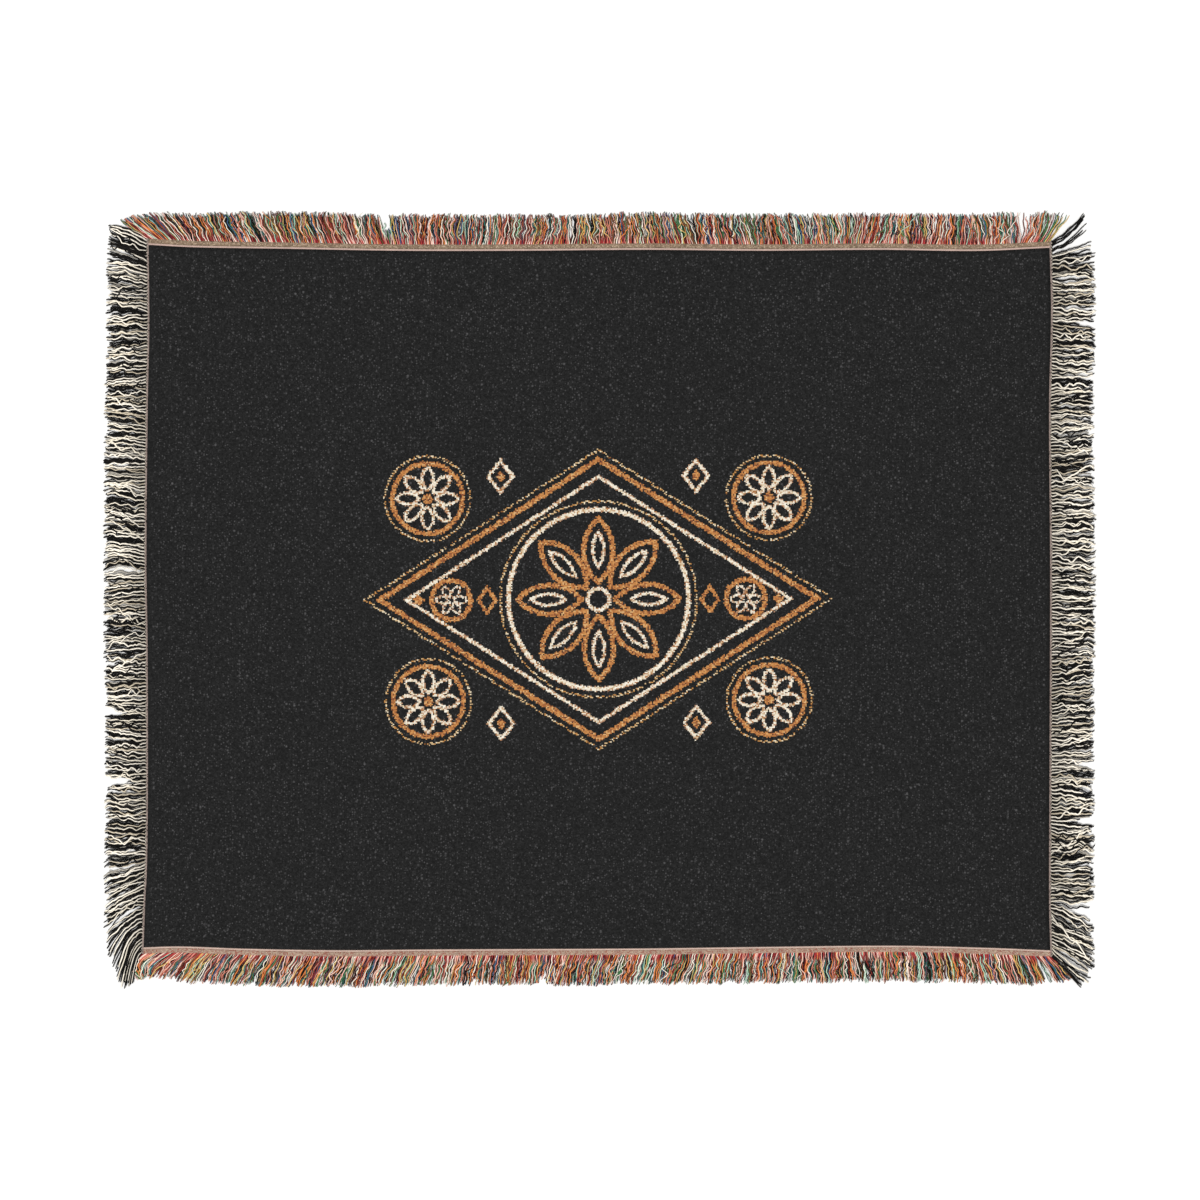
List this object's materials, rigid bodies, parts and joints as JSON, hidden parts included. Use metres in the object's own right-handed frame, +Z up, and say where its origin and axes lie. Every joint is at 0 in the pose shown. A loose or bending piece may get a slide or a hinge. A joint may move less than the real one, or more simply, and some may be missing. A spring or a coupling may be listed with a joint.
{
  "type": "woven cotton blanket",
  "caption": "Rectangular woven cotton throw blanket laid flat, with a dark panel, narrow woven headings and loose yarn fringe along all four sides.",
  "frame": {"origin": "on the floor under the middle of the woven panel", "axes": "+X along the longer side, +Y towards the back edge, +Z up out of the face of the cloth"},
  "size_m": [1.5248, 1.1906, 0.0051],
  "materials": {
    "panel_cloth": "matt patterned cotton weave",
    "warp_yarn": "matt spun cotton in many colours",
    "weft_yarn": "matt spun cotton in black and cream"
  },
  "bodies": {
    "root": {"panel": "panel_cloth", "fringe_back": "warp_yarn", "fringe_front": "warp_yarn", "fringe_left": "weft_yarn", "fringe_right": "weft_yarn"}
  },
  "joints": []
}
